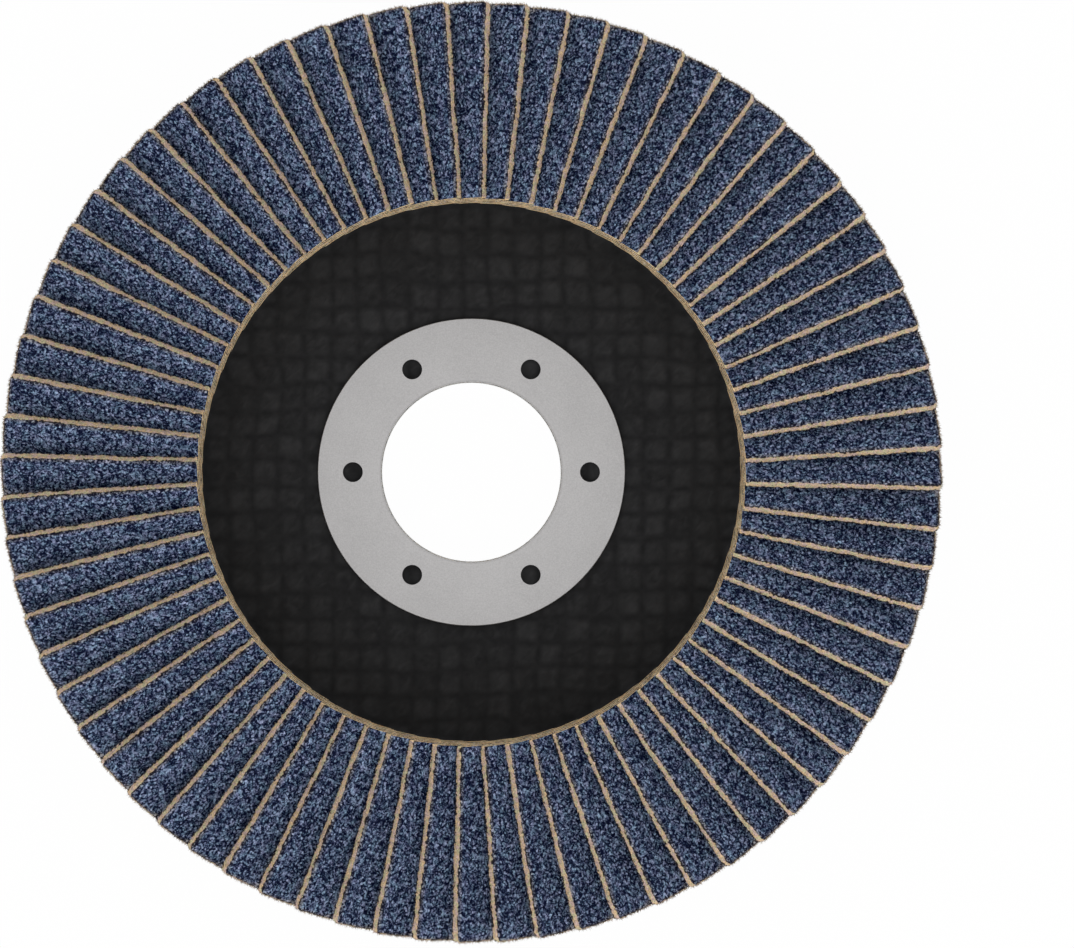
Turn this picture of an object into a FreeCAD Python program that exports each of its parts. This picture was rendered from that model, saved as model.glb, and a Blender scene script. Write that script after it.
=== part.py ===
import FreeCAD, Part
import math
import os

# A flap disc for an angle grinder, lying on the back of its hub with the abrasive side up.
# The origin is the centre of the bore at the back of the hub. +Z points out of the working side,
# and the flaps are counted clockwise from +Y, as that side shows them.
# Lengths are in millimetres and angles in degrees.

# The steel ring that lines the bore
bore_diameter = 22.23
ring_diameter = 38.2
ring_thickness = 0.5
collar_wall = 0.5
collar_clearance = 0.05
ring_edge_bevel = 0.06
bore_lip_bevel = 0.12
bonding_hole_count = 6
bonding_hole_diameter = 2.48
bonding_hole_setback = 4.36

# The pressed backing plate: a flat hub, a short slope and a flange that stands further forward
plate_thickness = 2.6
plate_setback = 4.0
hub_setback = 0.1
recess_depth = 2.6
slope_angle = 45.0
bend_radius = 0.9
plate_edge_bevel = 0.3

# The bed of resin that the flaps stand in
bed_thickness = 1.4
bed_inner_margin = 0.9
bed_outer_margin = 0.9

# The flaps of coated cloth
disc_diameter = 115.0
flap_count = 72
flap_width = 24.15
flap_reach = 11.9
cloth_thickness = 1.14
grain_thickness = 0.30
flap_gap = 0.09
flap_lift = 0.15
lead_offset = 0.52
first_flap_angle = 1.23

flaps_per_node = 2
full_turn = 360.0
origin = FreeCAD.Vector(0, 0, 0)
disc_axis = FreeCAD.Vector(0, 0, 1)

# Places that follow from the sizes above
bore_radius = bore_diameter / 2
ring_radius = ring_diameter / 2
collar_radius = bore_radius + collar_wall
plate_bore_radius = collar_radius + collar_clearance
ring_front = plate_thickness + ring_thickness
bonding_circle_radius = ring_radius - bonding_hole_setback

disc_radius = disc_diameter / 2
flap_inner_radius = disc_radius - flap_width
flap_pitch = full_turn / flap_count

plate_radius = disc_radius - plate_setback
hub_front_radius = flap_inner_radius + hub_setback
slope_width = recess_depth / math.tan(math.radians(slope_angle))
flange_front_radius = hub_front_radius + slope_width
flange_front = plate_thickness + recess_depth
bend_run = math.tan(math.radians(slope_angle / 2))
hub_back_radius = hub_front_radius + plate_thickness * bend_run
flange_back_radius = flange_front_radius + plate_thickness * bend_run

bed_inner_radius = flange_front_radius + bed_inner_margin
bed_outer_radius = plate_radius - bed_outer_margin
bed_front = flange_front + bed_thickness


def flap_tilt():
    """Angle at which neighbours stay flap_gap apart where they crowd most, at the inner end of the bed."""
    deepest_offset = flap_reach + grain_thickness - lead_offset
    deepest_angle = math.degrees(math.asin(deepest_offset / flap_inner_radius))
    crowding = math.cos(math.radians(deepest_angle - flap_pitch / 2))
    step = 2 * flap_inner_radius * math.sin(math.radians(flap_pitch / 2)) * crowding
    return math.degrees(math.asin((cloth_thickness + grain_thickness + flap_gap) / step))


def polar(radius, height):
    """Point of a turned outline, in the XZ plane."""
    return FreeCAD.Vector(radius, 0, height)


def turned(corners):
    """Solid turned about the disc's axis from (radius, height, bevel) corners, listed in order.

    A corner with a bevel is cut back by that much along both of its sides.
    """
    points = [polar(radius, height) for radius, height, bevel in corners]
    outline = []
    for index, (radius, height, bevel) in enumerate(corners):
        corner = points[index]
        if bevel == 0:
            outline.append(corner)
            continue
        to_last = (points[index - 1] - corner).normalize()
        to_next = (points[(index + 1) % len(points)] - corner).normalize()
        outline.append(corner + to_last * bevel)
        outline.append(corner + to_next * bevel)
    outline.append(outline[0])
    return Part.Face(Part.makePolygon(outline)).revolve(origin, disc_axis, full_turn)


def make_centre_ring():
    """Flat steel ring on the front of the hub, with a collar down through the plate and bonding holes."""
    ring = turned([
        (bore_radius, 0, 0),
        (collar_radius, 0, 0),
        (collar_radius, plate_thickness, 0),
        (ring_radius, plate_thickness, 0),
        (ring_radius, ring_front, ring_edge_bevel),
        (bore_radius, ring_front, bore_lip_bevel),
    ])
    for index in range(bonding_hole_count):
        angle = math.radians(index * full_turn / bonding_hole_count)
        place = FreeCAD.Vector(math.cos(angle), math.sin(angle), 0) * bonding_circle_radius
        place.z = plate_thickness
        ring = ring.cut(Part.makeCylinder(bonding_hole_diameter / 2, ring_thickness, place))
    return ring


def make_backing_plate():
    """Laminate disc of even thickness: flat hub, slope towards the working side, flat flange."""
    inside_bend = bend_radius * bend_run
    outside_bend = (bend_radius + plate_thickness) * bend_run
    return turned([
        (plate_bore_radius, 0, 0),
        (hub_back_radius, 0, outside_bend),
        (flange_back_radius, recess_depth, inside_bend),
        (plate_radius, recess_depth, plate_edge_bevel),
        (plate_radius, flange_front, plate_edge_bevel),
        (flange_front_radius, flange_front, outside_bend),
        (hub_front_radius, plate_thickness, inside_bend),
        (plate_bore_radius, plate_thickness, 0),
    ])


def make_flap():
    """One flap, its free edge along the radius that points to +Y and its plane rising towards +X."""
    tilt = math.radians(flap_tilt())
    along = FreeCAD.Vector(math.cos(tilt), 0, math.sin(tilt))
    outward = FreeCAD.Vector(-math.sin(tilt), 0, math.cos(tilt))
    length = flap_reach / math.cos(tilt)
    foot = FreeCAD.Vector(lead_offset - flap_reach + cloth_thickness * math.sin(tilt), 0, 0)
    foot.z = flange_front + flap_lift
    thickness = cloth_thickness + grain_thickness
    section = [
        foot,
        foot + along * length,
        foot + along * length + outward * thickness,
        foot + outward * thickness,
        foot,
    ]
    sheet = Part.Face(Part.makePolygon(section)).extrude(FreeCAD.Vector(0, disc_radius, 0))
    stack_height = section[2].z
    outer = Part.makeCylinder(disc_radius, stack_height)
    inner = Part.makeCylinder(flap_inner_radius, stack_height)
    return sheet.common(outer.cut(inner)).Solids[0]


def make_flaps():
    """All the flaps, each a turned copy of the first."""
    first = make_flap()
    flaps = []
    for index in range(flap_count):
        flap = first.copy()
        flap.rotate(origin, disc_axis, -(first_flap_angle + index * flap_pitch))
        flaps.append(flap)
    return flaps


def make_resin_bed(flaps):
    """Ring of resin on the flange, with a slot for the foot of every flap."""
    bed = turned([
        (bed_inner_radius, flange_front, 0),
        (bed_outer_radius, flange_front, 0),
        (bed_outer_radius, bed_front, 0),
        (bed_inner_radius, bed_front, 0),
    ])
    return bed.cut(flaps)


def export(shape, name):
    shape.exportStep(os.path.join("parts", name + ".step"))


def main():
    os.makedirs("parts", exist_ok=True)
    flaps = make_flaps()
    export(make_centre_ring(), "centre_ring")
    export(make_backing_plate(), "backing_plate")
    export(make_resin_bed(flaps), "resin_bed")
    for start in range(0, flap_count, flaps_per_node):
        group = flaps[start:start + flaps_per_node]
        node_number = start // flaps_per_node + 1
        export(Part.makeCompound(group), f"flap_pair_{node_number:02d}")


main()
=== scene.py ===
import math

import bmesh
import bpy
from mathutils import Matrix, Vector
from mathutils.geometry import interpolate_bezier


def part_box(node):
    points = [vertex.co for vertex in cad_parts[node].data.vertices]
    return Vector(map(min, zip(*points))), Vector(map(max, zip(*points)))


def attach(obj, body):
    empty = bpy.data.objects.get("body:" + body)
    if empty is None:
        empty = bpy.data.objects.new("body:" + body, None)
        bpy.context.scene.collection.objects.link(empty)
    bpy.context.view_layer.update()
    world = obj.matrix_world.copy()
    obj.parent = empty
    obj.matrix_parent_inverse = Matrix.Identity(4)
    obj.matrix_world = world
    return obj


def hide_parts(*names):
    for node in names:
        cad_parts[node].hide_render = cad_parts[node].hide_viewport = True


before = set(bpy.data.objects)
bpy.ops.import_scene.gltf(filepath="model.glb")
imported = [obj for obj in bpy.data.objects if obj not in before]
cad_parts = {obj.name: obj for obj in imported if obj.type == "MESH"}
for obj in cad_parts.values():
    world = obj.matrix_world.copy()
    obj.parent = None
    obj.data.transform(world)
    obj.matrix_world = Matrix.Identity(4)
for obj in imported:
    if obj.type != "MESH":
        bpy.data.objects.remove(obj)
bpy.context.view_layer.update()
mm = 0.001

# The backing plate is one pressing of black glass-fibre laminate: a flat hub round the bore, a short
# slope and a flat flange. It is moulded from layers of resin-soaked glass net, whose square mesh
# prints through on both faces.
plate_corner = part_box("backing_plate")[1]
plate_radius = plate_corner.x / mm
plate_thickness = 2.6
plate_bore_radius = 11.665
hub_front_radius = 33.45
recess_depth = plate_corner.z / mm - plate_thickness
slope_angle = 45.0
bend_run = math.tan(math.radians(slope_angle / 2))
bend_radius = 0.9
plate_edge_rounding = 0.35
bore_edge_rounding = 0.1
plate_segments = 192
net_pitch = 3.22
net_wobble = 2.4


class Wire:
    """A node's output that adds further nodes when it is used in a Python expression."""

    def __init__(self, socket):
        self.socket = socket

    def node(self, kind, settings=None, inputs=None, output=0):
        """Adds a node to the same tree: settings first, then the values or wires of its sockets."""
        made = self.socket.id_data.nodes.new(kind)
        for name, value in (settings or {}).items():
            setattr(made, name, value)
        for name, value in (inputs or {}).items():
            if isinstance(name, int):
                target = made.inputs[name]
            else:
                target = next(s for s in made.inputs if s.name == name and s.enabled)
            if isinstance(value, Wire):
                self.socket.id_data.links.new(value.socket, target)
            else:
                target.default_value = value
        if isinstance(output, int):
            return Wire(made.outputs[output])
        return Wire(next(s for s in made.outputs if s.name == output and s.enabled))

    def also(self, name):
        """Another output of the same node."""
        return Wire(next(s for s in self.socket.node.outputs if s.name == name))

    def math(self, operation, *others):
        return self.node("ShaderNodeMath", {"operation": operation}, dict(enumerate((self,) + others)))

    def vector_math(self, operation, *others):
        inputs = dict(enumerate((self,) + others))
        return self.node("ShaderNodeVectorMath", {"operation": operation}, inputs)

    def ramp(self, low, high, to_low=0.0, to_high=1.0):
        """Straight-line map from one range to another, held at its ends."""
        names = ("Value", "From Min", "From Max", "To Min", "To Max")
        return self.node("ShaderNodeMapRange", {}, dict(zip(names, (self, low, high, to_low, to_high))))

    def pick(self, number):
        """One component of a vector."""
        return self.node("ShaderNodeSeparateXYZ", {}, {0: self}, number)

    def blend(self, first, second):
        """Mixes two colours by this factor."""
        inputs = {"Factor": self, "A": first, "B": second}
        return self.node("ShaderNodeMix", {"data_type": "RGBA"}, inputs, "Result")

    def noise(self, scale, detail=2.0, output=0, dimensions="3D", distortion=0.0):
        """Cloudy random pattern, read at this place."""
        inputs = {"Vector": self, "Scale": scale, "Detail": detail, "Distortion": distortion}
        return self.node("ShaderNodeTexNoise", {"noise_dimensions": dimensions}, inputs, output)

    def bump(self, strength, distance):
        """The facing that this height gives to a surface."""
        inputs = {"Height": self, "Strength": strength, "Distance": distance}
        return self.node("ShaderNodeBump", {}, inputs)

    def __add__(self, other):
        return self.math("ADD", other)

    def __radd__(self, other):
        return self.math("ADD", other)

    def __sub__(self, other):
        return self.math("SUBTRACT", other)

    def __rsub__(self, other):
        return self.math("MULTIPLY_ADD", -1.0, other)

    def __mul__(self, other):
        return self.math("MULTIPLY", other)

    def __rmul__(self, other):
        return self.math("MULTIPLY", other)

    def __truediv__(self, other):
        return self.math("DIVIDE", other)

    def __rtruediv__(self, other):
        return self.math("POWER", -1.0) * other

    def __gt__(self, other):
        return self.math("GREATER_THAN", other)

    def __lt__(self, other):
        return self.math("LESS_THAN", other)


def vector(x, y, z=0.0):
    """A vector of wires and plain numbers, at least one of them a wire."""
    wire = next(part for part in (x, y, z) if isinstance(part, Wire))
    return wire.node("ShaderNodeCombineXYZ", {}, {0: x, 1: y, 2: z})


def srgb(red, green, blue):
    """Linear colour from the 0 to 255 levels that a screen shows."""
    levels = [level / 255 for level in (red, green, blue)]
    linear = [v / 12.92 if v < 0.04045 else ((v + 0.055) / 1.055) ** 2.4 for v in levels]
    return (*linear, 1.0)


def new_material(name):
    """A material and its surface shader."""
    material = bpy.data.materials.new(name)
    material.use_nodes = True
    return material, material.node_tree.nodes["Principled BSDF"]


def feed(shader, name, wire):
    shader.id_data.links.new(wire.socket, shader.inputs[name])


def place_in_mm(shader):
    """The place on the piece in millimetres."""
    coordinates = shader.id_data.nodes.new("ShaderNodeTexCoord")
    return Wire(coordinates.outputs["Object"]).vector_math("MULTIPLY", (1 / mm, 1 / mm, 1 / mm))


def radius_of(place):
    """How far a place is from the disc's axis."""
    flat = place.vector_math("MULTIPLY", (1, 1, 0))
    return flat.node("ShaderNodeVectorMath", {"operation": "LENGTH"}, {0: flat}, "Value")


def rounded_outline(corners, steps=5, fullness=0.55):
    """Points of a closed outline of (radius, height, cut back) corners, each eased by a curve."""
    points = [Vector((radius, 0, height)) * mm for radius, height, cut in corners]
    outline = []
    for index, (radius, height, cut) in enumerate(corners):
        corner = points[index]
        if cut == 0:
            outline.append(corner)
            continue
        start = corner + (points[index - 1] - corner).normalized() * cut * mm
        end = corner + (points[(index + 1) % len(points)] - corner).normalized() * cut * mm
        handles = start.lerp(corner, fullness), end.lerp(corner, fullness)
        outline += interpolate_bezier(start, *handles, end, steps)
    return outline


def turned(name, corners, segments, weld=0.001, sharp_angle=25.0):
    """Mesh turned about the disc's axis from a closed outline, smooth but for its sharp corners."""
    shape = bmesh.new()
    verts = [shape.verts.new(point) for point in rounded_outline(corners)]
    edges = [shape.edges.new((verts[index - 1], verts[index])) for index in range(len(verts))]
    bmesh.ops.spin(shape, geom=verts + edges, axis=(0, 0, 1), cent=(0, 0, 0),
                   angle=2 * math.pi, steps=segments, use_merge=True)
    bmesh.ops.remove_doubles(shape, verts=shape.verts, dist=weld * mm)
    bmesh.ops.recalc_face_normals(shape, faces=shape.faces)
    for face in shape.faces:
        face.smooth = True
    mesh = bpy.data.meshes.new(name)
    shape.to_mesh(mesh)
    shape.free()
    mesh.set_sharp_from_angle(angle=math.radians(sharp_angle))
    piece = bpy.data.objects.new(name, mesh)
    bpy.context.scene.collection.objects.link(piece)
    return piece


def laminate_material():
    """Black resin over woven glass: a net of squares that crown up, some paler than others, with painted
    sheen on the crowns and painted light towards the flaps' wall.
    """
    material, shader = new_material("black laminate")
    place = place_in_mm(shader)
    black_resin, pale_resin = srgb(22, 22, 23), srgb(48, 48, 49)
    crown_height, fibre_height, mottle_height = 0.05, 0.03, 0.02
    painted_wall_light_start, painted_wall_light_end, painted_wall_light = 25.0, 33.0, 0.1
    wobble = place.noise(0.1, 1.0) * net_wobble
    column = (place.pick(0) + wobble) / net_pitch
    row = (place.pick(1) - wobble) / net_pitch
    square = vector(column, row).vector_math("FLOOR")
    paleness = square.node("ShaderNodeTexWhiteNoise", {}, {"Vector": square}, "Value")
    crown_across = (column * math.pi).math("SINE").math("ABSOLUTE").ramp(0.1, 0.7)
    crown_along = (row * math.pi).math("SINE").math("ABSOLUTE").ramp(0.1, 0.7)
    crown = crown_across * crown_along
    slant = vector((place.pick(0) + place.pick(1)) * 0.4, (place.pick(0) - place.pick(1)) * 0.75)
    fibres = slant.noise(1.0, distortion=0.8)
    mottle = place.noise(0.8, 4.0)
    # The crowns and their slanting fibre streaks are painted lighter. This is partly glass that shows
    # through the resin and partly painted sheen that stands in for the gloss on the crowns.
    shade = crown * (paleness * 0.4 + fibres.ramp(0.4, 0.75, 0.0, 0.45))
    shade = shade + mottle.ramp(0.3, 0.7, -0.08, 0.42)
    # Painted light: the plate is painted lighter towards the flaps' wall, against the shade that the wall
    # casts on it.
    shade = shade + radius_of(place).ramp(painted_wall_light_start, painted_wall_light_end, 0.0, painted_wall_light)
    feed(shader, "Base Color", shade.blend(black_resin, pale_resin))
    feed(shader, "Roughness", mottle.ramp(0.3, 0.75, 0.58, 0.78))
    height = crown * crown_height + fibres * fibre_height + mottle * mottle_height
    feed(shader, "Normal", height.bump(0.5, mm))
    shader.inputs["Specular IOR Level"].default_value = 0.1
    return material


inside_bend = bend_radius * bend_run
outside_bend = (bend_radius + plate_thickness) * bend_run
back_shift = plate_thickness * bend_run
flange_front_radius = hub_front_radius + recess_depth
flange_front = recess_depth + plate_thickness
plate = turned("plate", [
    (plate_bore_radius, 0, bore_edge_rounding),
    (hub_front_radius + back_shift, 0, outside_bend),
    (flange_front_radius + back_shift, recess_depth, inside_bend),
    (plate_radius, recess_depth, plate_edge_rounding),
    (plate_radius, flange_front, plate_edge_rounding),
    (flange_front_radius, flange_front, outside_bend),
    (hub_front_radius, plate_thickness, inside_bend),
    (plate_bore_radius, plate_thickness, bore_edge_rounding),
], plate_segments)
plate.data.materials.append(laminate_material())
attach(plate, "root")
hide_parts("backing_plate")

# The centre ring is stamped from zinc-plated sheet steel, with a collar that lines the bore. It lies
# on the hub, and its six small holes give the resin of the plate a hold and show the black laminate.
ring_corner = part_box("centre_ring")[1]
ring_radius = ring_corner.x / mm
bore_radius = 11.115
bore_lip = 0.125
lip_shade_width = 0.18


def ring_material():
    """Satin zinc plate: clouds, fine specks, faint turning marks, painted shade in a band round the lip,
    and painted light that makes the bore wall nearly white.
    """
    material, shader = new_material("zinc-plated steel")
    place = place_in_mm(shader)
    radius = radius_of(place)
    dark_zinc, light_zinc = srgb(165, 163.5, 163.5), srgb(182, 180.5, 180.5)
    painted_lip_shade, painted_bore_light = srgb(140, 139, 138), srgb(234, 234, 234)
    relief = 0.004
    cloud = place.noise(0.22, 3.0)
    fine = place.noise(3.5, 4.0)
    specks = place.noise(7.0)
    marks = radius.node("ShaderNodeTexNoise", {"noise_dimensions": "1D"}, {"W": radius, "Scale": 6.0})
    tone = cloud * 0.35 + fine * 0.25 + marks * 0.2 + (specks - 0.5) * 1.3
    tone = tone + radius.ramp(bore_radius, ring_radius, 0.2, 0.0)
    sheet = tone.ramp(0.2, 0.8).blend(dark_zinc, light_zinc)
    in_bore = radius < bore_radius + bore_lip
    # Painted shade: a darker band round the lip, where the edge rounds down into the bore.
    in_lip_shade = (radius < bore_radius + bore_lip + lip_shade_width) * (1 - in_bore)
    sheet = (in_lip_shade * 0.3).blend(sheet, painted_lip_shade)
    # Painted light: the bore wall is painted nearly white.
    feed(shader, "Base Color", in_bore.blend(sheet, painted_bore_light))
    feed(shader, "Roughness", fine.ramp(0.3, 0.7, 0.38, 0.5) - in_bore * 0.25)
    feed(shader, "Normal", (fine * relief + marks * relief).bump(0.35, mm))
    shader.inputs["Metallic"].default_value = 1.0
    return material


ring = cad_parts["centre_ring"]
ring.data.materials.clear()
ring.data.materials.append(ring_material())

# The bed is a ring of poured resin on the flange of the plate. The feet of the flaps are pressed into
# it before it cures, and nothing else holds them.


def resin_material():
    """Dull amber-brown resin, cloudy and slightly pitted."""
    material, shader = new_material("cured resin")
    dark_amber, light_amber = srgb(52, 38, 26), srgb(92, 70, 46)
    pit_depth = 0.3
    cloud = place_in_mm(shader).noise(0.5, 4.0)
    feed(shader, "Base Color", cloud.ramp(0.3, 0.7).blend(dark_amber, light_amber))
    feed(shader, "Roughness", cloud.ramp(0.3, 0.7, 0.35, 0.6))
    feed(shader, "Normal", cloud.bump(0.4, pit_depth * mm))
    return material


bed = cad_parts["resin_bed"]
bed.data.materials.clear()
bed.data.materials.append(resin_material())

# The flaps are guillotined from coated cloth: a thick tan cotton and polyester twill, with blue
# zirconia grain glued to its upper face. Each stands in the resin by its rear edge and leans over the
# next one clockwise, so that only a strip of grain and the cut edge of the cloth show.
flap_nodes = sorted(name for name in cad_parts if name.startswith("flap_pair"))
flaps_per_node = 2
flap_sizes = {
    "Pitch": 360.0 / (len(flap_nodes) * flaps_per_node),
    "First angle": 1.23,
    "Inner radius": 33.35,
    "Outer radius": 57.5,
    "Cloth": 1.14,
    "Grain": 0.30,
    "Tilt": 33.57,
    "Reach": 11.9,
    "Lead offset": 0.52,
    "Foot height": 5.35,
    "Unevenness": 0.12,
    "Grain size": 0.27,
    "Grain jitter": 0.12,
    "Grain setback": 0.1,
    "Edge wander": 0.25,
    "Edge fray": 0.32,
    "Layer fray": 0.12,
    "Hem fray": 0.25,
    "Rim fray": 0.24,
    "Heart fray": 0.12,
    "Worn corner": 0.9,
}
inner_skew = 0.12
wander_reach, wander_middle = 1.5, 0.06
yarns_per_mm, end_yarns_per_mm, wander_per_mm = 2.4, 2.2, 0.35
layers_per_yarn = 2
corner_wear = 0.4
lump_share, dome_share, grit_share, glue_share = 0.55, 0.5, 0.25, 0.15
dome_edge = 0.75
next_stretch, next_row, next_edge, next_end, next_weave = 7.31, 3.17, 5.7, 9.1, 13.7
shown_per_radius = math.radians(flap_sizes["Pitch"]) / math.cos(math.radians(flap_sizes["Tilt"]))

# The grid of a flap: rows back from the free edge, columns out to the rim and layers up to the grain
rows_back = 40
rows_fine = 29
fine_share = rows_fine / rows_back
fine_depth = 5.4
columns = 104
layers = 6
cloth_share = (layers - 1) / layers
coarse_columns = 16
coarse_rows = 8
on_edge = 0.001

# Loose fibres, in millimetres and in fibres to a square millimetre
fibre_thin, fibre_thick = 0.014, 0.03
fibre_short, fibre_long = 0.1, 0.37
fibre_lean = 1.1
extra_rim_girth, extra_rim_length = 1.1, 0.5
lead_fibres, heart_fibres = 9.0, 9.0
rim_fibres, shown_rim_fibres = 8.0, 32.0
shown_share = 0.76


def store(geometry, name, value, kind="FLOAT_VECTOR", domain="POINT"):
    """Keeps a value on the mesh under a name."""
    return geometry.node("GeometryNodeStoreNamedAttribute", {"data_type": kind, "domain": domain}, {
        "Geometry": geometry, "Name": name, "Value": value})


def recall(start, name, kind="FLOAT_VECTOR"):
    """The value that the mesh keeps under a name."""
    return start.node("GeometryNodeInputNamedAttribute", {"data_type": kind}, {"Name": name})


def roll_place(depth, radius, number):
    """A place on the roll of coated cloth, of which every flap is another stretch."""
    return vector(depth + number * next_stretch, radius + number * next_row)


def cell_pattern(where, scale):
    """Random cells: how far a place is from the middle of its own."""
    inputs = {"Vector": where, "Scale": scale}
    return where.node("ShaderNodeTexVoronoi", {"voronoi_dimensions": "2D"}, inputs, "Distance")


def side_layout(start):
    """Flat layout of the block's six sides, by which the finish can be carried over to an image."""
    facing = start.node("GeometryNodeInputNormal")
    place = start.node("GeometryNodeInputPosition")
    forward, outward, upward = place.pick(0), place.pick(1), place.pick(2)
    squarely = 0.5
    top, bottom = facing.pick(2) > squarely, facing.pick(2) < -squarely
    lead, rear = facing.pick(0) > squarely, facing.pick(0) < -squarely
    rim, heart = facing.pick(1) > squarely, facing.pick(1) < -squarely
    ends = rim + heart
    margin, full_width, half_width, second_half = 0.01, 0.98, 0.48, 0.5
    layout_x = (outward * full_width + margin) * (1 - ends) + (forward * half_width + margin) * ends
    layout_x = layout_x + heart * second_half
    # Each strip of the layout: its side, what runs up it, how tall it is and where it starts
    strips = (
        (top, forward, 0.26, 0.005),
        (bottom, forward, 0.08, 0.275),
        (lead, upward, 0.06, 0.365),
        (rear, upward, 0.01, 0.435),
        (ends, upward, 0.035, 0.455),
    )
    layout_y = sum(side * (way * tall + low) for side, way, tall, low in strips)
    return vector(layout_x, layout_y)


def sheet_block(start, grain, weld=0.0001):
    """Block 1 by 1 by 1 with a grid that is finest at the free edge and coarse where nothing shows."""
    block = start.node("GeometryNodeMeshCube", {}, {
        "Vertices X": rows_back + 1, "Vertices Y": columns + 1, "Vertices Z": layers + 1})
    spot = start.node("GeometryNodeInputPosition").vector_math("ADD", (0.5, 0.5, 0.5))
    back, across, level = 1 - spot.pick(0), spot.pick(1), spot.pick(2)
    under = (level < on_edge) * (back > on_edge) * (across > on_edge) * (across < 1 - on_edge)
    hidden = (back > fine_share + 0.5 / rows_back).math("MAXIMUM", under)
    snapped_across = (across * coarse_columns).math("ROUND") / coarse_columns
    snapped_back = (back * coarse_rows).math("ROUND").math("MAXIMUM", 1.0) / coarse_rows
    across = across + hidden * (snapped_across - across)
    back = back + under * (snapped_back - back)
    block = start.node("GeometryNodeSetPosition", {}, {
        "Geometry": block, "Position": vector(1 - back, across, level)})
    block = store(block, "layout", side_layout(start), domain="CORNER")
    block = start.node("GeometryNodeMergeByDistance", {}, {"Geometry": block, "Distance": weld})
    block = store(block, "sheet", start.node("GeometryNodeInputPosition"))
    return start.node("GeometryNodeSetMaterial", {}, {"Geometry": block, "Material": grain})


def loose_fibres(flaps, back, across, level, grain):
    """Thin spikes that stand out of the cut edges, each of which takes its colour from its root."""
    at_rim = across > 1 - on_edge
    shown = back < shown_share
    per_mm2 = (back < on_edge) * lead_fibres + at_rim * (rim_fibres + shown * shown_rim_fibres)
    per_mm2 = per_mm2 + (across < on_edge) * shown * heart_fibres
    roots = flaps.node("GeometryNodeDistributePointsOnFaces", {}, {
        "Mesh": flaps, "Density": per_mm2 * (level < cloth_share) / (mm * mm), "Seed": 5})
    leaning = flaps.node("FunctionNodeRandomValue", {"data_type": "FLOAT_VECTOR"}, {
        "Min": (-fibre_lean, -fibre_lean, 0), "Max": (fibre_lean, fibre_lean, 0), "Seed": 1}, "Value")
    leaning = flaps.node("FunctionNodeEulerToRotation", {}, {0: leaning})
    upright = roots.also("Rotation")
    upright = upright.node("FunctionNodeRotateRotation", {"rotation_space": "LOCAL"}, {
        "Rotation": upright, "Rotate By": leaning})
    measure = flaps.node("FunctionNodeRandomValue", {"data_type": "FLOAT_VECTOR"}, {
        "Min": (fibre_thin * mm, fibre_thin * mm, fibre_short * mm),
        "Max": (fibre_thick * mm, fibre_thick * mm, fibre_long * mm), "Seed": 2}, "Value")
    girth, length = 1 + at_rim * extra_rim_girth, 1 + at_rim * extra_rim_length
    measure = measure.vector_math("MULTIPLY", vector(girth, girth, length))
    spike = flaps.node("GeometryNodeMeshCone", {}, {
        "Vertices": 3, "Radius Top": 0.0, "Radius Bottom": 1.0, "Depth": 1.0}, "Mesh")
    spike = flaps.node("GeometryNodeSetMaterial", {}, {"Geometry": spike, "Material": grain})
    return flaps.node("GeometryNodeInstanceOnPoints", {}, {
        "Points": roots, "Instance": spike, "Rotation": upright, "Scale": measure})


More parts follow.
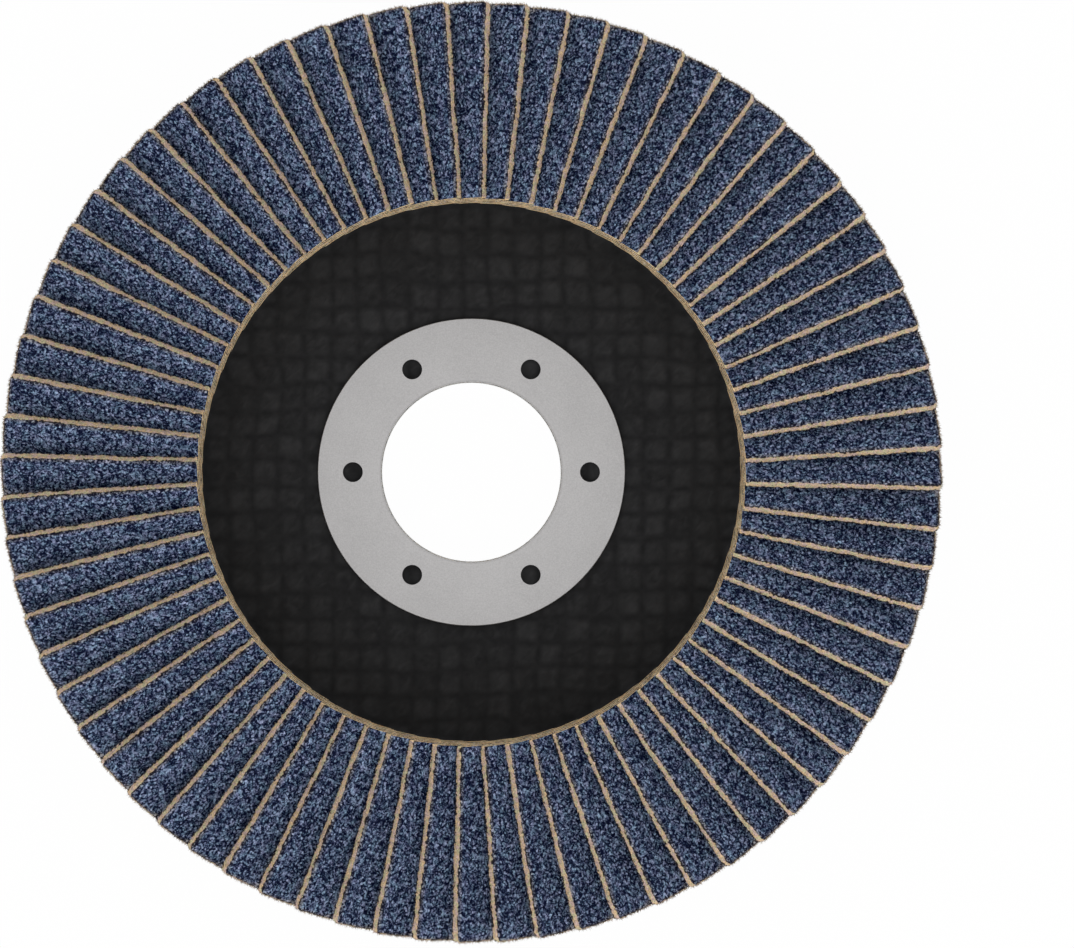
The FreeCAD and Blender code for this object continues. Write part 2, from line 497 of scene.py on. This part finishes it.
def flap_tree(grain, cloth):
    """Node tree that makes a group of neighbouring flaps, from the number of the first one."""
    tree = bpy.data.node_groups.new("coated flaps", "GeometryNodeTree")
    tree.interface.new_socket("Geometry", in_out="OUTPUT", socket_type="NodeSocketGeometry")
    for name in ("First flap", *flap_sizes):
        socket = tree.interface.new_socket(name, in_out="INPUT", socket_type="NodeSocketFloat")
        socket.default_value = flap_sizes.get(name, 0.0)
    entry = tree.nodes.new("NodeGroupInput")
    size = {name: Wire(entry.outputs[name]) for name in ("First flap", *flap_sizes)}
    start = size["First flap"]

    # One block for each flap of the group, which remembers its flap's number
    posts = start.node("GeometryNodePoints", {}, {"Count": flaps_per_node})
    posts = store(posts, "number", start + start.node("GeometryNodeInputIndex"), "FLOAT")
    flaps = start.node("GeometryNodeInstanceOnPoints", {}, {
        "Points": posts, "Instance": sheet_block(start, grain)})
    flaps = start.node("GeometryNodeRealizeInstances", {}, {"Geometry": flaps})
    number, sheet = recall(start, "number", "FLOAT"), recall(start, "sheet")
    layout_shift = vector(0.0, (number - start) / flaps_per_node)
    layout = recall(start, "layout").vector_math("ADD", layout_shift)
    flaps = store(flaps, "OFBake", layout, "FLOAT2", "CORNER")
    back, across, level = 1 - sheet.pick(0), sheet.pick(1), sheet.pick(2)
    at_lead, at_rim, at_heart = back < on_edge, across > 1 - on_edge, across < on_edge
    at_top, at_hem = level > 1 - on_edge, level < on_edge

    # Distances in millimetres: back from the free edge, out from the axis, up from the cloth's back
    tilt = size["Tilt"] * (math.pi / 180)
    rise, run = tilt.math("SINE"), tilt.math("COSINE")
    length = size["Reach"] / run
    depth = back.ramp(0, fine_share, 0, fine_depth) + back.ramp(fine_share, 1) * (length - fine_depth)
    skew = (depth / length).ramp(0, 1, inner_skew, -inner_skew)
    radius = size["Inner radius"] + skew + across * (size["Outer radius"] - size["Inner radius"] - skew)
    height = level.ramp(0, cloth_share) * size["Cloth"]

    # The grain: a lump of its own height and slope for each cell of a random pattern
    where = roll_place(depth, radius, number)
    cells = cell_pattern(where, 1 / size["Grain size"])
    lump = cells.also("Color").pick(0)
    scatter = where.node("ShaderNodeTexWhiteNoise", {}, {"Vector": where}, "Color")
    grain_top = lump * lump_share + (dome_edge - cells) * dome_share + scatter.pick(2) * grit_share
    grain_top = glue_share + (1 - glue_share) * grain_top.math("MINIMUM", 1.0)
    height = height + level.ramp(cloth_share, 1) * size["Grain"] * grain_top
    inner_point = (1 - at_lead) * (1 - at_heart) * (1 - at_rim) * (back < fine_share) * at_top
    depth = depth + inner_point * (scatter.pick(0) - 0.5) * size["Grain jitter"]
    radius = radius + inner_point * (scatter.pick(1) - 0.5) * size["Grain jitter"]

    # The cut edges: yarn ends stand out in scallops, the cut wanders and its outer corner is worn
    yarn = vector(radius, height * layers_per_yarn, number * next_edge)
    frayed = yarn.noise(yarns_per_mm)
    wander = yarn.noise(wander_per_mm, 1.0)
    worn = (radius - (size["Outer radius"] - size["Worn corner"])).math("MAXIMUM", 0.0)
    near_lead = (1 - depth / wander_reach).math("MAXIMUM", 0.0)
    moved_back = worn * worn * corner_wear + wander * size["Edge wander"] - wander_middle
    depth = depth + near_lead * moved_back
    depth = depth + at_lead * (frayed - 0.5) * size["Edge fray"]
    height = height + at_lead * (1 - at_hem) * (1 - at_top) * (frayed - 0.5) * size["Layer fray"]
    height = height + at_lead * at_hem * (frayed - 0.4) * size["Hem fray"]
    end_yarn = vector(depth, height * layers_per_yarn, number * next_end)
    end_frayed = end_yarn.noise(end_yarns_per_mm)
    radius = radius - at_rim * (end_frayed * size["Rim fray"] + at_top * size["Grain setback"])
    radius = radius + at_heart * end_frayed * size["Heart fray"]

    # Set each point on its flap, then turn the flap to its place round the disc
    own = start.node("ShaderNodeTexWhiteNoise", {"noise_dimensions": "1D"}, {"W": number}, "Color")
    lead_side = size["Lead offset"] + size["Cloth"] * rise + (own.pick(0) - 0.5) * size["Unevenness"]
    lead_height = size["Foot height"] + length * rise - own.pick(1) * size["Unevenness"]
    side = lead_side - depth * run - height * rise
    lift = lead_height - depth * rise + height * run
    ahead = (radius * radius - side * side).math("SQRT")
    angle = (size["First angle"] + number * size["Pitch"]) * (math.pi / 180)
    sine, cosine = angle.math("SINE"), angle.math("COSINE")
    point = vector(ahead * sine + side * cosine, ahead * cosine - side * sine, lift)
    flaps = store(flaps, "cut", vector(depth, radius, height))
    flaps = start.node("GeometryNodeSetPosition", {}, {
        "Geometry": flaps, "Position": point.vector_math("MULTIPLY", (mm, mm, mm))})
    flaps = start.node("GeometryNodeTriangulate", {}, {0: flaps})
    flaps = start.node("GeometryNodeSetShadeSmooth", {}, {"Geometry": flaps, "Shade Smooth": False})

    # Add the fibres and clothe everything but the grain
    fibres = loose_fibres(flaps, back, across, level, grain)
    flaps = flaps.node("GeometryNodeJoinGeometry", {}, {"Geometry": flaps})
    tree.links.new(fibres.socket, flaps.socket.node.inputs[0])
    flaps = start.node("GeometryNodeRealizeInstances", {}, {"Geometry": flaps})
    slack = 0.01
    on_cloth = (level < cloth_share + slack).math("MAXIMUM", at_rim)
    flaps = start.node("GeometryNodeSetMaterial", {}, {
        "Geometry": flaps, "Selection": on_cloth, "Material": cloth})
    leave = tree.nodes.new("NodeGroupOutput")
    tree.links.new(flaps.socket, leave.inputs[0])
    return tree


def flap_wires(shader):
    """The flap's own coordinates at a point of its surface, and its number."""
    nodes = shader.id_data.nodes
    cut = nodes.new("ShaderNodeAttribute")
    cut.attribute_name = "cut"
    number = nodes.new("ShaderNodeAttribute")
    number.attribute_name = "number"
    return Wire(cut.outputs["Vector"]), Wire(number.outputs["Fac"])


def grain_material():
    """Blue zirconia, one grain to a cell: pale facets in navy resin, worn brown at free edge and rim, and
    painted light where the neighbour's edge shades the grain.
    """
    material, shader = new_material("blue grain")
    cut, number = flap_wires(shader)
    depth, radius = cut.pick(0), cut.pick(1)
    navy_resin = srgb(0, 7, 38)
    dull_violet, dull_blue = srgb(54, 62, 93), srgb(46, 65, 91)
    pale_violet, pale_blue = srgb(170, 180, 215), srgb(156, 183, 211)
    dark_brown, pale_brown = srgb(24, 18, 16), srgb(180, 162, 140)
    where = roll_place(depth, radius, number)
    cells_per_mm = 1 / flap_sizes["Grain size"]
    chips_to_a_cell = 1.7
    crease_sharpness = 9
    rim_band, edge_band, deep_band = (0.2, 0.6), (0.12, 0.55), (0.78, 0.9)
    facet_height = 0.08
    cells = cell_pattern(where, cells_per_mm)
    lump = cells.also("Color")
    chips = cell_pattern(where, cells_per_mm * chips_to_a_cell).also("Color").pick(1)
    creases = where.noise(2.3, 1.0, dimensions="2D", distortion=0.4)
    edges = ((creases - 0.5).math("ABSOLUTE") * crease_sharpness).ramp(0, 1, 1, 0)
    tone = lump.pick(1).math("POWER", 3.0) * 0.7 + chips.math("POWER", 3.0) * 0.4 - cells * 0.35
    tone = tone + edges * (0.05 + lump.pick(2) * 0.7) - 0.07
    # How far across the strip of grain that shows, from the flap's own free edge to its neighbour's
    strip = depth / (radius * shown_per_radius)
    # Painted light: the grain is painted lighter deeper in the strip, under the neighbour's edge where its
    # shade falls, and a little darker towards its own free edge.
    tone = tone * strip.ramp(0.2, 0.95, 0.92, 1.25) + strip.ramp(0.62, 0.85, 0.0, 0.06)
    hue = where.noise(1.05, 1.0, dimensions="2D").ramp(0.3, 0.7)
    dull = hue.blend(dull_violet, dull_blue)
    pale = tone.ramp(0.13, 1.1).blend(dull, hue.blend(pale_violet, pale_blue))
    grains = tone.ramp(-0.01, 0.15).blend(navy_resin, pale)
    from_rim = flap_sizes["Outer radius"] - radius - strip.ramp(0.65, 1.0, 0.0, 0.7)
    wear = from_rim.ramp(*rim_band, 0.6, 0.0).math("MAXIMUM", depth.ramp(*edge_band, 0.5, 0.0))
    wear = wear.math("MAXIMUM", strip.ramp(*deep_band, 0.0, 0.5))
    worn = tone.ramp(-0.01, 0.9).blend(dark_brown, pale_brown)
    feed(shader, "Base Color", (wear * hue.ramp(0, 1, 0.7, 1.0)).blend(grains, worn))
    feed(shader, "Roughness", chips.ramp(0, 1, 0.45, 0.75))
    feed(shader, "Normal", chips.bump(0.6, facet_height * mm))
    shader.inputs["Specular IOR Level"].default_value = 0.06
    return material


def cloth_material():
    """Tan twill: twisted yarns on the back, and on the cut edges yarn ends between glue and a dark hem of
    fuzz and painted shadow, with spots of painted shadow and the heart ends painted lighter.
    """
    material, shader = new_material("tan cloth")
    cut, number = flap_wires(shader)
    depth, radius, height = cut.pick(0), cut.pick(1), cut.pick(2)
    shaded_yarn, pink_yarn, gilt_yarn, olive_yarn, glue_and_shadow_dark = (
        srgb(93, 80, 68), srgb(237, 207, 198), srgb(249, 216, 169), srgb(229, 221, 178), srgb(36, 29, 28))
    yarn_pitch, yarn_slant = 0.46, 2.1
    cut_reach, heart_reach, rim_reach, corner_reach, shadow_spot_reach = 0.4, 0.3, 0.4, 0.5, 0.3
    on_back = depth > cut_reach
    ribs = (radius * (2 * math.pi / yarn_pitch) + depth * yarn_slant).math("SINE") * on_back
    cross = (depth * (2 * math.pi / yarn_pitch) - radius * yarn_slant).math("SINE") * on_back
    spot = vector(depth, radius + number * next_weave, height)
    fuzz = spot.noise(6.0)
    patch = spot.noise(0.9).ramp(0.25, 0.75, -0.04, 0.04)
    tone = fuzz.ramp(0.25, 0.75, -0.33, 0.33) + patch + ribs * 0.08 + cross * 0.08
    at_heart = radius < flap_sizes["Inner radius"] + heart_reach
    at_rim = (radius > flap_sizes["Outer radius"] - rim_reach) * (depth > corner_reach)
    # Painted light: the ends at the heart, on the inner wall of the flaps, are painted lighter against the
    # shade in the recess.
    tone = tone + 0.52 + at_heart * 0.17 - at_rim * 0.3
    dye = spot.noise(1.7, 1.0, "Color")
    yarns = dye.pick(0).ramp(0.4, 0.6).math("MAXIMUM", at_heart).blend(pink_yarn, gilt_yarn)
    yarns = dye.pick(1).ramp(0.52, 0.62).blend(yarns, olive_yarn)
    cloth = tone.ramp(0, 1).blend(shaded_yarn, yarns)
    tear, sway = spot.noise(2.3, 2.0, "Color"), spot.noise(0.35, 1.0, "Color")
    ragged = tear.vector_math("ADD", sway).vector_math("SUBTRACT", (1, 1, 1))
    glue = (height + ragged.pick(0) - at_rim * 0.15).ramp(0.95, 1.09)
    # The hem at the foot of the cut edge is dark. This is partly frayed fuzz and partly painted shadow
    # where the edge meets the next flap's grain. Painted shadow: near-black spots low on the cut edge,
    # where loose fibres overhang it.
    hem_and_shadow = (height + ragged.pick(1)).ramp(0.02, 0.12, 1, 0)
    shadow_spots = tear.pick(2).ramp(0.58, 0.64) * (height < shadow_spot_reach)
    dark = glue.math("MAXIMUM", hem_and_shadow.math("MAXIMUM", shadow_spots) * (depth < cut_reach))
    feed(shader, "Base Color", dark.blend(cloth, glue_and_shadow_dark))
    feed(shader, "Roughness", fuzz.ramp(0.3, 0.7, 0.8, 0.95))
    rib_height, fuzz_height = 0.02, 0.06
    relief = ribs * rib_height + cross * rib_height + fuzz * fuzz_height
    feed(shader, "Normal", relief.bump(0.7, mm))
    shader.inputs["Specular IOR Level"].default_value = 0.2
    return material


tree = flap_tree(grain_material(), cloth_material())
first_flap_input = next(item.identifier for item in tree.interface.items_tree if item.name == "First flap")
for index, node_name in enumerate(flap_nodes):
    blank = bpy.data.objects.new("blank", bpy.data.meshes.new("blank"))
    bpy.context.scene.collection.objects.link(blank)
    maker = blank.modifiers.new("flaps", "NODES")
    maker.node_group = tree
    maker[first_flap_input] = float(index * flaps_per_node)
    made = blank.evaluated_get(bpy.context.evaluated_depsgraph_get())
    mesh = bpy.data.meshes.new_from_object(made)
    mesh.materials.pop(index=0)  # The empty slot that the grid block brought along
    bpy.data.objects.remove(blank)
    flaps = bpy.data.objects.new("flaps_" + node_name[-2:], mesh)
    bpy.context.scene.collection.objects.link(flaps)
    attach(flaps, "root")
    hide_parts(node_name)

# The stage is a plain pale floor just under the disc, which looks white to the camera. Its light comes
# from a sky that is brighter low down and one soft lamp beyond the foot of the picture, a little left.
floor_half_width = 3.0
floor_grey, floor_roughness = 0.85, 0.9
floor_glow = 0.98
floor_drop = 0.02
sky_overhead, sky_low_down = 0.54, 1.75
lamp_place = (-0.116, -0.779, 0.62)
lamp_width, lamp_power = 0.9, 3.5

floor_mesh = bpy.data.meshes.new("floor")
floor_shape = bmesh.new()
bmesh.ops.create_grid(floor_shape, x_segments=1, y_segments=1, size=floor_half_width)
floor_shape.to_mesh(floor_mesh)
floor_shape.free()
floor = bpy.data.objects.new("floor", floor_mesh)
floor.location.z = -floor_drop * mm
bpy.context.scene.collection.objects.link(floor)
floor_material, floor_shader = new_material("floor")
floor_shader.inputs["Base Color"].default_value = (floor_grey, floor_grey, floor_grey, 1)
floor_shader.inputs["Roughness"].default_value = floor_roughness
floor_nodes = floor_material.node_tree.nodes
floor_links = floor_material.node_tree.links
light_path = floor_nodes.new("ShaderNodeLightPath")
glow = floor_nodes.new("ShaderNodeEmission")
seen = Wire(light_path.outputs["Is Camera Ray"]).math("MAXIMUM", Wire(light_path.outputs["Is Glossy Ray"]))
mixed = seen.node("ShaderNodeMixShader", {}, {0: seen * floor_glow})
floor_links.new(floor_shader.outputs[0], mixed.socket.node.inputs[1])
floor_links.new(glow.outputs[0], mixed.socket.node.inputs[2])
floor_links.new(mixed.socket, floor_nodes["Material Output"].inputs["Surface"])
floor_mesh.materials.append(floor_material)

world = bpy.data.worlds.new("studio")
world.use_nodes = True
sky = world.node_tree.nodes["Background"]
sky.inputs["Color"].default_value = (1, 1, 1, 1)
sky_place = Wire(world.node_tree.nodes.new("ShaderNodeTexCoord").outputs["Generated"])
sky_path = world.node_tree.nodes.new("ShaderNodeLightPath")
sky_seen = Wire(sky_path.outputs["Is Camera Ray"]).math("MAXIMUM", Wire(sky_path.outputs["Is Glossy Ray"]))
lowness = 1 - sky_place.pick(2).math("MAXIMUM", 0.0)
sky_level = sky_overhead + sky_low_down * lowness * lowness
sky_level = sky_level + sky_seen * (1 - sky_level)
world.node_tree.links.new(sky_level.socket, sky.inputs["Strength"])
bpy.context.scene.world = world

lamp_light = bpy.data.lights.new("key", "AREA")
lamp_light.size = lamp_width
lamp_light.energy = lamp_power
lamp = bpy.data.objects.new("key", lamp_light)
lamp.location = lamp_place
lamp.rotation_euler = (-Vector(lamp_place)).to_track_quat("-Z", "Y").to_euler()
bpy.context.scene.collection.objects.link(lamp)

# The camera looks straight down the disc's axis, from about 0.6 m above the front of the ring, with
# the disc left of the picture's middle.
picture_width, picture_height = 1074, 948
disc_column, disc_row = 471.41, 472.12
pixels_per_mm_at_ring = 8.046
ring_front = ring_corner.z
camera_distance = 0.5923
lens_data = bpy.data.cameras.new("camera")
lens_data.sensor_width = 36.0
lens_data.lens = lens_data.sensor_width * camera_distance / mm * pixels_per_mm_at_ring / picture_width
lens_data.shift_x = (picture_width / 2 - disc_column) / picture_width
lens_data.shift_y = -(picture_height / 2 - disc_row) / picture_width
camera = bpy.data.objects.new("camera", lens_data)
camera.location = (0, 0, ring_front + camera_distance)
bpy.context.scene.collection.objects.link(camera)
bpy.context.scene.camera = camera
bpy.context.scene.view_settings.view_transform = "Standard"
